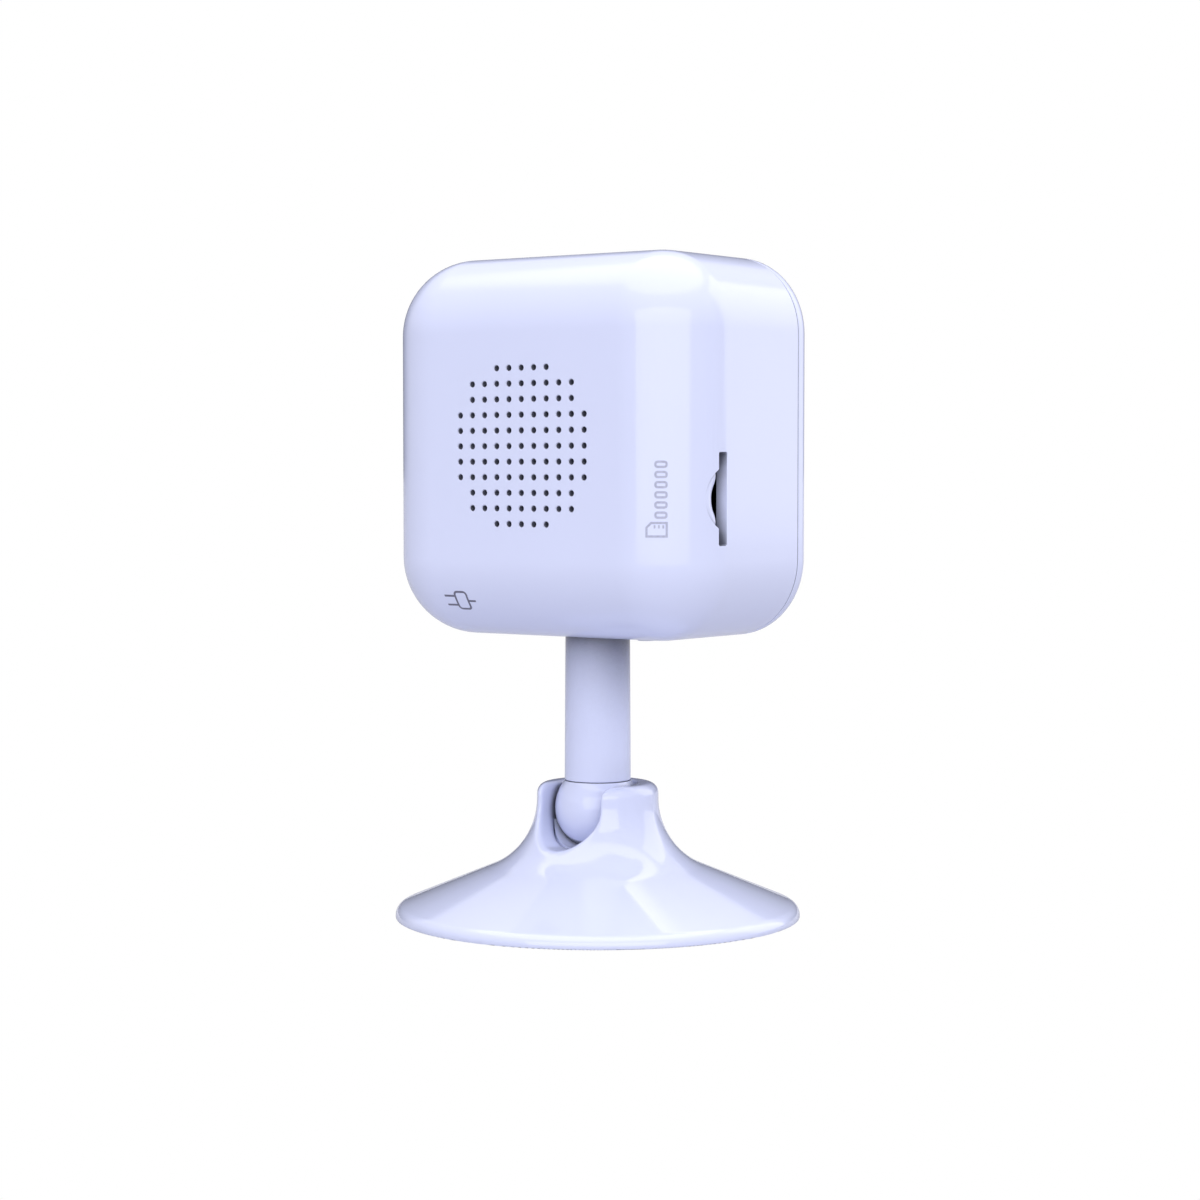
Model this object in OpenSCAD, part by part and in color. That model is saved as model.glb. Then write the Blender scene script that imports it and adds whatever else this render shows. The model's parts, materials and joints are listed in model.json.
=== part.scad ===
// Small indoor security camera: a rounded head on a thin stem, and a ball joint in a round weighted base.
// Millimetres, Z up. The lens looks along -Y, and the origin is the middle of the base's underside.

/* [Head] */
// Width of the head
head_w = 60; // [58:0.5:62]
// Height of the head
head_h = 59.3; // [58:0.1:62]
// Depth of the head, front to back
head_d = 35.2; // [35:0.1:37]
// Height of the head's underside above the table
head_z = 44.9; // [44:0.1:50]
// Distance of the head's back face from the stem's axis
head_back = 19.75; // [19.5:0.05:20.5]
// Radius of the head's four long corners and of its back edge
corner_r = 12.2; // [11:0.1:12.5]
// Radius of the head's front edge
front_edge_r = 3; // [2:0.1:3.4]
// Depth of the front bezel, from the front face to the seam
bezel_d = 3.8; // [3.7:0.1:4.2]
// Wall of the head's shells
wall = 1.6; // [1.4:0.1:1.7]

/* [Speaker grille] */
// Distance between neighbouring holes
grille_pitch = 2.38; // [2.3:0.01:2.42]
// Radius of one hole
grille_hole_r = 0.45; // [0.35:0.01:0.6]
// Radius of the field of holes, counted in holes
grille_steps = 5.8; // [4:0.1:5.8]

/* [Openings of the head] */
// Height of the memory card slot
card_slot_h = 14; // [13:0.1:14.5]
// Width of the memory card slot, front to back
card_slot_d = 1.9; // [1.6:0.1:2]
// Height of the thumbnail recess beside the slot
thumb_h = 8.8; // [6:0.1:10]
// How far the thumbnail recess reaches behind the slot
thumb_d = 2.4; // [1.6:0.1:2.6]
// Depth of the thumbnail recess
thumb_depth = 1.1; // [0.6:0.1:1.2]
// Distance of the power inlet, and of the reset button on the other side, from the middle
port_x = 13.6; // [12:0.1:14]
// Width of the power inlet's opening
port_w = 8.4; // [8.4:0.1:9]
// Depth of the power inlet's opening, front to back
port_d = 3.4; // [3.4:0.05:3.5]
// Radius of the reset button
button_r = 1.5; // [1.2:0.1:1.6]
// Travel of the reset button
button_travel = 0.5; // [0.3:0.1:0.5]

/* [Window and lens] */
// Radius of the round front window
window_r = 25.1; // [24:0.1:25.2]
// Radius of the lens ring
lens_ring_r = 8; // [7.5:0.1:8.5]
// Radius of the front lens
lens_r = 6; // [5:0.1:6]

/* [Stem and ball] */
// Radius of the stem
stem_r = 5.2; // [5:0.05:5.3]
// Radius of the ball
ball_r = 6.8; // [6.7:0.05:6.85]
// Height of the ball's centre above the table
ball_z = 17.4; // [17:0.1:18]
// Radius of the spigot on which the stem turns
spigot_r = 2.4; // [2:0.1:2.6]

/* [Base] */
// Radius of the base
base_r = 32.1; // [31.5:0.1:34]
// Radius of the neck
neck_r = 9.65; // [9.5:0.05:10]
// Height of the neck's rim
neck_top = 21.4; // [21.3:0.1:22]
// Slope of the base's flank, in degrees
flank_slope = 22.5; // [22:0.5:23]
// Radius of the base's outer edge
edge_r = 1.8; // [1.6:0.1:2.2]
// Radius of the hollow sweep between flank and neck
sweep_r = 11.9; // [11.5:0.1:12.2]
// Radius of the notch that takes the folded stem
notch_r = 5.75; // [5.65:0.05:5.85]
// Radius of the neck's mouth above the ball
mouth_r = 5.9; // [5.85:0.05:6]

/* [Hidden] */
$fn = 64;
hull_fn = 32;        // of what is hulled
eps = 0.01;
gap = 0.05;          // between pieces that are fixed to each other
running_gap = 0.05;  // radial, between the spigot and the stem

// Head: planes across Y, from the front to the back
front_y = head_back - head_d;
seam_y = front_y + bezel_d;
window_y = front_y + 0.3;
bezel_wall = 1.8;
flange_y = front_y + bezel_wall + gap;
flange_t = 1;
led_board_y = front_y + 4.85;
chassis_y = front_y + 6.05;
chassis_t = 1.2;
sensor_board_y = 0.8;
board_y = 7.2;
board_t = 1.2;
board_back = board_y + board_t;
inner_back = head_back - wall;
cloth_y = inner_back - 0.15;
gasket_y = cloth_y - 0.85;
frame_back = gasket_y - gap;
frame_front = 12.4;

head_mid = head_z + head_h / 2;
inner_bottom = head_z + wall;
inner_top = head_z + head_h - wall;
corner_x = head_w / 2 - corner_r;
corner_z = head_h / 2 - corner_r;
port_y = 5.775;
card_y = 9.1;
card_z = 66.6;

// Main board, and the four screws that hold it to the rear shell
board_w = 50;
board_h = 50;
board_mid = 72.6;
board_screw_x = 21;
board_screw_z = [53.2, 92.5];
boss_r = 2.6;
guide_t = 0.4;       // of the rim round the card slot, inside the wall
switch_z = 49.3;     // underside of the reset switch
plunger_z = switch_z - 0.5;

// Sensor board and chassis screws, from the middle of the head
sensor_post = 14.5;
chassis_post = 20.9;
led_ring_r = 15.5;
led_count = 8;
mic_drop = 20.5;

// Stem
stem_foot = ball_z + sqrt(pow(ball_r, 2) - pow(stem_r, 2));
stem_top = head_z - gap;
stem_thread_r = 4.6;
stem_thread_top = 50;
stem_bore_r = 3.3;
spigot_top = 33;

// Base
edge_z = 0.5;
socket_r = ball_r + 0.15;
block_r = 13;        // of the solid round the socket
block_z = 4.7;
shell_wall = 1.8;
foot_z = 0.1;        // underside of the shell, just off the table
rim_r = 1.7;         // rounding of the neck's rim
plate_r = 28.7;      // of the base plate's recess
plate_z = 0.95;
plate_top = 2.1;
screw_ring_r = 21;
plate_screw_r = 10;
cup_z = 8.7;

// ---------- helpers ----------

// A circle's arc as n steps, from angle a to angle b
function arc(x, y, r, a, b, n) = [
    for (t = [0:n]) [x + r * cos(a + (b - a) * t / n), y + r * sin(a + (b - a) * t / n)]
];

// The base's flank: its straight part ends where the edge arc and the hollow sweep begin
flank_start = [base_r - edge_r + edge_r * sin(flank_slope), edge_z + edge_r * cos(flank_slope)];
sweep_x = neck_r + sweep_r;
sweep_z = flank_start[1] + tan(flank_slope) * (flank_start[0] - sweep_x) + sweep_r / cos(flank_slope);

module rounded_rect(w, h, r) {
    offset(r = r) square([w - 2 * r, h - 2 * r], center = true);
}

// A flat outline in X and Z about the head's middle, from y0 to y1
module across(y0, y1, z = head_mid) {
    translate([0, y1, z]) rotate([90, 0, 0]) linear_extrude(y1 - y0) children();
}

// A round bar along Y at x and z, from y0 to y1
module bar_y(x, z, r, y0, y1) {
    translate([x, y0, z]) rotate([-90, 0, 0]) cylinder(r = r, h = y1 - y0);
}

// A round bar along Z
module bar_z(x, y, r, z0, z1) {
    translate([x, y, z0]) cylinder(r = r, h = z1 - z0);
}

// A box between two corners
module block(low, high) {
    translate(low) cube(high - low);
}

// A profile of radius and depth behind the front face, turned about the lens's axis
module about_lens() {
    translate([0, front_y, head_mid]) rotate([-90, 0, 0]) rotate_extrude() children();
}

// The four corners at x and z either side of the head's middle
module at_corners(x, z) {
    for (sx = [-1, 1], sz = [-1, 1]) translate([sx * x, 0, head_mid + sz * z]) children();
}

module at_board_screws() {
    for (sx = [-1, 1], z = board_screw_z) translate([sx * board_screw_x, 0, z]) children();
}

// A pan-head screw along +Y: the head lies before y, the thread behind it
module screw_y(y, head_r, head_h, thread_r, length) {
    translate([0, y - head_h, 0]) rotate([-90, 0, 0]) difference() {
        union() {
            cylinder(r = head_r, h = head_h);
            cylinder(r = thread_r, h = head_h + length);
        }
        translate([0, 0, -eps]) cross_recess(head_r);
    }
}

// A cross-shaped driver recess
module cross_recess(head_r) {
    linear_extrude(0.6) for (a = [0, 90]) rotate(a) square([head_r * 1.1, head_r * 0.3], center = true);
}

// A lens with two domed faces, from a depth behind the front face
module lens(depth, r, face_r, t) {
    lean = asin(r / face_r);
    about_lens() polygon(concat(
        arc(0, depth + face_r, face_r, -90, lean - 90, 8),
        arc(0, depth + t - face_r, face_r, 90 - lean, 90, 8)
    ));
}

// ---------- base ----------

module base_outline() {
    polygon(concat(
        [[0, foot_z], [base_r - 0.2, foot_z], [base_r, foot_z + 0.2]],
        arc(base_r - edge_r, edge_z, edge_r, 0, 90 - flank_slope, 8),
        arc(sweep_x, sweep_z, sweep_r, 270 - flank_slope, 180, 12),
        arc(neck_r - rim_r, neck_top - rim_r, rim_r, 0, 90, 6),
        arc(mouth_r + 0.8, neck_top - 0.8, 0.8, 90, 180, 4),
        [[mouth_r, ball_z], [0, ball_z]]
    ));
}

// The notch that the stem folds into: round at the bottom and open at the top, to the back
module notch(extra) {
    translate([0, 0, ball_z]) rotate([-90, 0, 0]) cylinder(r = notch_r + extra, h = base_r);
    translate([-notch_r - extra, 0, ball_z]) cube([2 * (notch_r + extra), base_r, 10]);
}

// The hollow between the skin and the block round the socket
module base_hollow() {
    intersection() {
        offset(delta = -shell_wall) base_outline();
        translate([block_r, 0]) square([base_r, 12]);
    }
}

module base_shell() {
    color("#e6e8fb") difference() {
        union() {
            difference() {
                rotate_extrude() base_outline();
                rotate_extrude() base_hollow();
                bar_z(0, 0, plate_r, -1, plate_top + 0.1);
                bar_z(0, 0, block_r + eps, -1, block_z);
            }
            for (a = [0:120:359]) rotate(a) bar_z(screw_ring_r, 0, 2.4, plate_top + 0.1, 4.8);
        }
        translate([0, 0, ball_z]) sphere(r = socket_r);
        bar_z(0, 0, socket_r, 0, ball_z);
        notch(0);
        for (a = [0:120:359]) rotate(a) bar_z(screw_ring_r, 0, 0.9, 0, 5);
        for (a = [30:120:359]) rotate(a) bar_z(plate_screw_r, 0, 0.9, 0, 9);
    }
}

module foot_pad() {
    color("#3a3a40") difference() {
        bar_z(0, 0, 28.2, 0, plate_z - gap);
        bar_z(0, 0, 17.5, -1, 1);
    }
}

module base_plate() {
    color("#c9cbdc") difference() {
        bar_z(0, 0, plate_r - 0.1, plate_z, plate_top);
        for (a = [0:120:359]) rotate(a) {
            bar_z(screw_ring_r, 0, 1.2, 0, 3);
            bar_z(screw_ring_r, 0, 2, 0, plate_z + 0.7);
        }
    }
}

module base_weight() {
    color("#8d9096") difference() {
        rotate_extrude() polygon([[13.4, 2.2], [25.2, 2.2], [25.2, 2.6], [15.2, 6.7], [13.4, 6.7]]);
        for (a = [0:120:359]) rotate(a) bar_z(screw_ring_r, 0, 2.8, 1, 9);
    }
}

module base_screws() {
    color("#b9bcc2") for (a = [0:120:359]) rotate(a) translate([screw_ring_r, 0, plate_z]) difference() {
        union() {
            cylinder(r = 1.85, h = 0.65);
            cylinder(r = 0.85, h = 3.9);
        }
        translate([0, 0, -0.3]) cross_recess(1.85);
    }
}

module spring_plate() {
    color("#a7abb3") difference() {
        bar_z(0, 0, 12.6, block_z - 1.1, block_z - gap);
        for (a = [30:120:359]) rotate(a) bar_z(plate_screw_r, 0, 1.1, 0, 9);
    }
}

module plate_screws() {
    color("#b9bcc2") for (a = [30:120:359]) rotate(a) translate([plate_screw_r, 0, block_z - 1.15]) {
        translate([0, 0, -1.1]) difference() {
            union() {
                cylinder(r = 1.8, h = 1.1);
                cylinder(r = 0.85, h = 5);
            }
            translate([0, 0, -eps]) cross_recess(1.8);
        }
    }
}

// Coil of wire, swept as a tube with eight sides
spring_turns = 4;
spring_steps = 16;
spring_wire_r = 0.35;
spring_coil_r = 5.2;
spring_z0 = block_z + spring_wire_r + gap;
spring_z1 = cup_z - spring_wire_r - gap;
spring_rings = spring_turns * spring_steps;
function spring_point(i, k) = let(
    a = i * 360 / spring_steps,
    r = spring_coil_r + spring_wire_r * cos(k * 45),
    z = spring_z0 + (spring_z1 - spring_z0) * i / spring_rings + spring_wire_r * sin(k * 45)
) [r * cos(a), r * sin(a), z];

module cup_spring() {
    points = [for (i = [0:spring_rings], k = [0:7]) spring_point(i, k)];
    sides = [for (i = [0:spring_rings - 1], k = [0:7]) [
        i * 8 + k, (i + 1) * 8 + k, (i + 1) * 8 + (k + 1) % 8, i * 8 + (k + 1) % 8
    ]];
    ends = [[for (k = [0:7]) k], [for (k = [7:-1:0]) spring_rings * 8 + k]];
    color("#b9bcc2") polyhedron(points, concat(sides, ends));
}

// Cup that presses up on the ball, with its own notch in line with the neck's
module socket_cup() {
    color("#dfe0ea") difference() {
        bar_z(0, 0, socket_r - gap, cup_z, ball_z - 1.9);
        translate([0, 0, ball_z]) sphere(r = ball_r + 0.04);
        notch(0.02);
        bar_z(0, 0, 1.5, cup_z - 1, 12);
    }
}

// ---------- ball and stem ----------

module ball() {
    color("#e4e6fa") difference() {
        union() {
            intersection() {
                translate([0, 0, ball_z]) sphere(r = ball_r);
                bar_z(0, 0, ball_r + 1, 0, stem_foot - 0.06);
            }
            bar_z(0, 0, spigot_r, ball_z, spigot_top);
        }
        bar_z(0, 0, 1.05, 24, spigot_top + 1);
    }
}

module pivot_screw() {
    color("#b9bcc2") difference() {
        union() {
            bar_z(0, 0, 1, 24.5, spigot_top + 0.1);
            bar_z(0, 0, 3.1, spigot_top + gap, spigot_top + 1.85);
        }
        translate([0, 0, spigot_top + 1.3]) cross_recess(3.1);
    }
}

module stem() {
    h = stem_top - stem_foot;
    color("#e2e4fa") difference() {
        union() {
            translate([0, 0, stem_foot]) cylinder(r1 = stem_r + 0.05, r2 = stem_r - 0.07, h = h);
            bar_z(0, 0, stem_thread_r, stem_top - 1, stem_thread_top);
        }
        bar_z(0, 0, spigot_r + running_gap, 0, spigot_top);
        bar_z(0, 0, stem_bore_r, spigot_top - 0.1, stem_thread_top + 1);
    }
}

module stem_washer() {
    color("#a7abb3") difference() {
        bar_z(0, 0, 6.9, inner_bottom + gap, inner_bottom + 0.45);
        bar_z(0, 0, stem_thread_r + 0.1, 0, 60);
    }
}

module stem_nut() {
    color("#b9bcc2") difference() {
        translate([0, 0, inner_bottom + 0.5]) cylinder(r = 6.6, h = 2.5, $fn = 6);
        bar_z(0, 0, stem_thread_r + gap, 0, 60);
    }
}

// ---------- head: shells ----------

// A ball whose poles and equator are true, for hulling
module corner_ball(r) {
    rotate_extrude($fn = hull_fn) polygon(arc(0, 0, r, -90, 90, hull_fn / 2));
}

// The head behind the seam, drawn in by inset
module rear_form(inset, y0) {
    hull() {
        at_corners(corner_x, corner_z) translate([0, head_back - corner_r, 0])
            corner_ball(corner_r - inset);
        at_corners(corner_x, corner_z) translate([0, y0, 0]) rotate([-90, 0, 0])
            cylinder(r = corner_r - inset, h = 1, $fn = hull_fn);
    }
}

module grille_holes() {
    for (i = [-5:5], j = [-5:5]) {
        if (norm([i, j]) <= grille_steps) {
            z = head_mid + j * grille_pitch;
            bar_y(i * grille_pitch, z, grille_hole_r, inner_back - 0.5, head_back + 1);
        }
    }
}

// Slot for the memory card in the side wall, and the recess for a thumbnail behind it
module card_opening() {
    half = card_slot_h / 2;
    recess_r = (pow(thumb_h / 2, 2) + pow(thumb_d, 2)) / (2 * thumb_d);
    slot_back = card_y + card_slot_d / 2;
    slot_front = slot_back - card_slot_d;
    side = -head_w / 2;
    block([side - 1, slot_front, card_z - half], [side + 4, slot_back, card_z + half]);
    intersection() {
        translate([side - 1, slot_back + thumb_d - recess_r, card_z]) rotate([0, 90, 0])
            cylinder(r = recess_r, h = 1 + thumb_depth);
        block([-head_w, slot_back - eps, head_z], [0, head_back, head_z + head_h]);
    }
}

// Rim that thickens the side wall round the slot, to guide the card
module card_guide() {
    side = -head_w / 2;
    half = card_slot_h / 2 + 0.4;
    block([side, card_y - 1.8, card_z - half], [side + wall + guide_t, card_y + 1.9, card_z + half]);
}

module rear_shell() {
    color("#e4e6fb") difference() {
        rear_form(0, seam_y);
        difference() {
            rear_form(wall, seam_y - 0.5);
            at_board_screws() bar_y(0, 0, boss_r, board_back + gap, head_back);
            card_guide();
            difference() {
                bar_y(0, head_mid, 15.7, gasket_y - 1, head_back);
                bar_y(0, head_mid, 14.6, gasket_y - 2, head_back);
            }
        }
        at_board_screws() bar_y(0, 0, 1, 0, 14);
        grille_holes();
        card_opening();
        translate([port_x, port_y, head_z]) cube([port_w, port_d, 4 * wall], center = true);
        bar_z(-port_x, port_y, button_r + 0.3, head_z - 1, inner_bottom + 1);
        bar_z(0, 0, stem_thread_r + 0.1, head_z - 1, inner_bottom + 1);
    }
}

module bezel_corner() {
    rotate([90, 0, 0]) rotate_extrude($fn = hull_fn) polygon(concat(
        [[0, 0], [corner_r, 0]],
        arc(corner_r - front_edge_r, bezel_d - front_edge_r, front_edge_r, 0, 90, 8),
        [[0, bezel_d]]
    ));
}

// Front frame, with a tongue that snaps into the rear shell
module front_bezel() {
    inner = wall + 0.1;
    color("#eceefc") difference() {
        union() {
            difference() {
                hull() at_corners(corner_x, corner_z) translate([0, seam_y - gap, 0]) bezel_corner();
                across(front_y + bezel_wall, seam_y + 1)
                    rounded_rect(head_w - 2 * wall, head_h - 2 * wall, corner_r - wall);
            }
            across(seam_y - 1.5, seam_y + 2) difference() {
                rounded_rect(head_w - 2 * inner, head_h - 2 * inner, corner_r - inner);
                rounded_rect(head_w - 2 * inner - 2.4, head_h - 2 * inner - 2.4, corner_r - inner - 1.2);
            }
            across(seam_y - 1.5, seam_y - 0.2) difference() {
                rounded_rect(head_w - 2, head_h - 2, corner_r - 1);
                rounded_rect(head_w - 2 * inner - 1, head_h - 2 * inner - 1, corner_r - inner - 0.5);
            }
            at_corners(chassis_post, chassis_post)
                bar_y(0, 0, 2.1, front_y + bezel_wall - 0.5, chassis_y - gap);
        }
        bar_y(0, head_mid, window_r + 0.2, front_y - 1, seam_y - 0.5);
        at_corners(chassis_post, chassis_post) bar_y(0, 0, 0.8, front_y + 1.2, seam_y + 9);
    }
}

module front_window() {
    color("#0d0e12") difference() {
        union() {
            bar_y(0, head_mid, window_r, window_y, flange_y + 0.1);
            bar_y(0, head_mid, window_r + 1.6, flange_y, flange_y + flange_t);
        }
        bar_y(0, head_mid, lens_ring_r + 0.1, front_y - 1, seam_y);
        bar_y(0, head_mid - mic_drop, 0.6, front_y - 1, seam_y);
    }
}

// ---------- head: camera ----------

module lens_ring() {
    color("#4c4f57") about_lens() polygon([
        [lens_ring_r - 0.3, 0], [lens_ring_r, 0.3], [lens_ring_r, 3.2], [lens_r + 0.1, 3.2],
        [lens_r + 0.1, 1.7], [lens_ring_r - 0.8, 0]
    ]);
}

module lens_front() {
    dome_r = 11;
    apex = 0.9;
    color("#20242e") intersection() {
        translate([0, front_y + apex + dome_r, head_mid]) sphere(r = dome_r, $fn = 96);
        bar_y(0, head_mid, lens_r, front_y, front_y + 3.4);
    }
}

module lens_group() {
    color("#2b3140") {
        lens(4.8, 4.9, 14, 2.2);
        lens(7.6, 4.9, 18, 1.8);
        lens(10, 4.9, 12, 2.5);
    }
}

module lens_barrel() {
    color("#1c1d21") about_lens() polygon([
        [5, 3.5], [6.5, 3.5], [6.5, 13.1], [3.6, 13.1], [3.6, 12.6], [5, 12.6]
    ]);
}

module lens_holder() {
    color("#26272c") difference() {
        across(-7, sensor_board_y - gap) rounded_rect(16, 16, 1);
        bar_y(0, head_mid, 6.55, -8, -2.25);
        across(-2.3, 2) square(9.8, center = true);
    }
}

module infrared_filter() {
    color("#8a4a58") across(-2.1, -1.6) square(9.6, center = true);
}

module image_sensor() {
    color("#33343a") {
        across(-0.4, sensor_board_y - gap) square([8.4, 7.4], center = true);
    }
}

module sensor_board() {
    color("#155a3a") difference() {
        across(sensor_board_y, sensor_board_y + board_t) rounded_rect(36, 36, 3);
        at_corners(sensor_post, sensor_post) bar_y(0, 0, 1.1, 0, 3);
    }
}

module sensor_screws() {
    color("#b9bcc2") at_corners(sensor_post, sensor_post) {
        mirror([0, 1, 0]) screw_y(-(sensor_board_y + board_t + gap), 1.8, 0.95, 0.75, 6);
    }
}

module chassis() {
    color("#232428") difference() {
        union() {
            across(chassis_y, chassis_y + chassis_t) rounded_rect(50, 50, 6);
            at_corners(sensor_post, sensor_post) bar_y(0, 0, 2.4, chassis_y + 0.5, sensor_board_y - gap);
        }
        bar_y(0, head_mid, 8.2, -15, 0);
        at_corners(sensor_post, sensor_post) bar_y(0, 0, 0.8, -6, 2);
        at_corners(chassis_post, chassis_post) bar_y(0, 0, 1.1, -12, 0);
    }
}

module chassis_screws() {
    color("#b9bcc2") at_corners(chassis_post, chassis_post) {
        mirror([0, 1, 0]) screw_y(-(chassis_y + chassis_t + gap), 1.8, 1, 0.75, 4.5);
    }
}

module infrared_board() {
    color("#101a16") difference() {
        bar_y(0, head_mid, 22.5, led_board_y, chassis_y - gap);
        bar_y(0, head_mid, 8.6, -15, 0);
    }
}

module infrared_leds() {
    color("#3b3346") for (i = [0:led_count - 1]) {
        a = (i + 0.5) * 360 / led_count;
        translate([led_ring_r * cos(a), 0, led_ring_r * sin(a)]) {
            bar_y(0, head_mid, 1.75, led_board_y - 0.7, led_board_y - gap);
            bar_y(0, head_mid, 1.2, led_board_y - 1.1, led_board_y - 0.65);
        }
    }
}

module light_sensor() {
    color("#c8b46a") across(led_board_y - 0.9, led_board_y - gap)
        translate([0, 19]) square([2.4, 1.8], center = true);
}

module status_led() {
    color("#7fd6a0") across(led_board_y - 0.8, led_board_y - gap)
        translate([0, -12]) square([1.6, 0.8], center = true);
}

module microphone() {
    color("#b7b9be") bar_y(0, head_mid - mic_drop, 1.7, led_board_y - 0.9, led_board_y - gap);
}

module microphone_boot() {
    color("#2b2b2f") difference() {
        bar_y(0, head_mid - mic_drop, 2.2, flange_y + flange_t + gap, led_board_y - 0.95);
        bar_y(0, head_mid - mic_drop, 0.7, -16, 0);
    }
}

// ---------- head: electronics ----------

ribbon_z0 = 89.1;
ribbon_bend_z = 94;
ribbon_y = [sensor_board_y + board_t + 0.55, board_y - 0.55];

module ribbon_cable() {
    mid = (ribbon_y[0] + ribbon_y[1]) / 2;
    bend_r = (ribbon_y[1] - ribbon_y[0]) / 2;
    color("#c98b3c") {
        for (y = ribbon_y) block([-5, y - 0.1, ribbon_z0], [5, y + 0.1, ribbon_bend_z + eps]);
        translate([-5, mid, ribbon_bend_z]) rotate([90, 0, 90]) linear_extrude(10) intersection() {
            difference() {
                circle(r = bend_r + 0.1);
                circle(r = bend_r - 0.1);
            }
            translate([-5, 0]) square([10, 5]);
        }
    }
}

module ribbon_connectors() {
    color("#e9e6dc") {
        block([-6, sensor_board_y + board_t + gap, 86], [6, ribbon_y[0] + 0.5, ribbon_z0 - gap]);
        block([-6, ribbon_y[1] - 0.5, 86], [6, board_y - gap, ribbon_z0 - gap]);
    }
}

module main_board() {
    color("#145238") difference() {
        across(board_y, board_back, board_mid) rounded_rect(board_w, board_h, 6);
        at_board_screws() bar_y(0, 0, 1.2, 0, 12);
        // clear of the reset button and its flange
        block([-port_x - 3, board_y - 1, head_z], [-port_x + 3, board_back + 1, switch_z - 0.3]);
    }
}

module main_chips() {
    color("#1d1e22") {
        block([-7, board_y - 1.15, 65], [7, board_y - gap, 79]);
        block([10, board_y - 1, 66], [19, board_y - gap, 74]);
        block([-20, board_y - 1.6, 78], [-14, board_y - gap, 84]);
        block([14, board_y - 2, 58], [19, board_y - gap, 63]);
    }
}

module board_screws() {
    color("#b9bcc2") at_board_screws() screw_y(board_y - gap, 1.9, 1.1, 0.95, 6.4);
}

module thermal_pad() {
    color("#9fb4c9") block([-6.5, board_y - 1.8, 65.5], [6.5, board_y - 1.2, 78.5]);
}

module heat_spreader() {
    color("#b9bdc6") {
        block([-12, 4.4, 62], [12, board_y - 1.85, 82]);
        for (x = [-11:3.6:11]) block([x, 3.3, 62], [x + 1.2, 4.4 + eps, 82]);
    }
}

module card_socket() {
    color("#a9abb2") difference() {
        block([-27.2, board_back + gap, card_z - 7.15], [-13.5, 11.2, card_z + 7.15]);
        block([-28, card_y - 0.5, card_z - 5.7], [-14.5, card_y + 0.5, card_z + 5.7]);
    }
}

module power_socket() {
    color("#b4b6bc") difference() {
        block([port_x - 3.9, 4.4, head_z + 0.4], [port_x + 3.9, board_y - gap, 51.2]);
        difference() {
            block([port_x - 3.5, 4.8, head_z], [port_x + 3.5, 6.75, 50.4]);
            block([port_x - 2.3, 5.5, head_z + 0.9], [port_x + 2.3, 6.05, 51]);
        }
    }
}

module reset_switch() {
    color("#2a2b30") {
        block([-port_x - 1.8, 4.1, switch_z], [-port_x + 1.8, board_y - gap, switch_z + 3]);
        bar_z(-port_x, port_y, 0.9, plunger_z, switch_z + 0.05);
    }
}

module reset_button() {
    button_top = plunger_z - button_travel - 0.1;
    color("#d6d8ee") {
        bar_z(-port_x, port_y, button_r, head_z - 0.2, button_top);
        bar_z(-port_x, port_y, button_r + 0.7, inner_bottom + 0.3, inner_bottom + 0.9);
    }
}

module antenna() {
    color("#c79a3a") block([-14, -4, inner_top - 0.5], [14, 5, inner_top - 0.1]);
}

// ---------- head: speaker ----------

// A profile of radius and Y, turned about the head's middle axis
module about_y() {
    translate([0, 0, head_mid]) rotate([-90, 0, 0]) rotate_extrude() children();
}

module speaker_frame() {
    color("#303138") about_y() polygon([
        [5.4, frame_front], [8.6, frame_front], [13.2, 15.7], [14.4, 15.7], [14.4, frame_back],
        [13.2, frame_back], [13.2, 16.3], [8.2, 13.2], [5.4, 13.2]
    ]);
}

module speaker_cone() {
    color("#16171a") about_y() polygon([
        [0, 15.6], [3.4, 15.1], [4.6, 14], [12.2, 16.5], [12.7, 16.2], [13.1, 16.5], [12.7, 16.9],
        [12.2, 16.9], [4.9, 14.7], [3.4, 15.9], [0, 16.4]
    ]);
}

module speaker_magnet() {
    color("#54565e") {
        bar_y(0, head_mid, 7.6, board_back + 0.3, frame_front - gap);
        bar_y(0, head_mid, 4, frame_front - 0.1, 13.8);
    }
}

module speaker_gasket() {
    color("#26262a") difference() {
        bar_y(0, head_mid, 14.4, gasket_y, cloth_y - gap);
        bar_y(0, head_mid, 13.6, 0, head_back);
    }
}

module speaker_cloth() {
    color("#17181b") bar_y(0, head_mid, 14.4, cloth_y, inner_back - gap);
}

module speaker_contacts() {
    color("#c9a24a") for (sx = [-1, 1]) bar_y(sx * 1.4, head_mid - 13.75, 0.4, board_back + gap, 15.65);
}

base_shell();
foot_pad();
base_plate();
base_weight();
base_screws();
spring_plate();
plate_screws();
cup_spring();
socket_cup();
ball();
pivot_screw();
stem();
stem_washer();
stem_nut();
rear_shell();
front_bezel();
front_window();
lens_ring();
lens_front();
lens_group();
lens_barrel();
lens_holder();
infrared_filter();
image_sensor();
sensor_board();
sensor_screws();
chassis();
chassis_screws();
infrared_board();
infrared_leds();
light_sensor();
status_led();
microphone();
microphone_boot();
ribbon_cable();
ribbon_connectors();
main_board();
main_chips();
board_screws();
thermal_pad();
heat_spreader();
card_socket();
power_socket();
reset_switch();
reset_button();
antenna();
speaker_frame();
speaker_cone();
speaker_magnet();
speaker_gasket();
speaker_cloth();
speaker_contacts();
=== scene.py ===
"""Looks of the security camera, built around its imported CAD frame."""

import json
import math

import bmesh
import bpy
import numpy as np
from mathutils import Matrix, Vector


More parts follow.
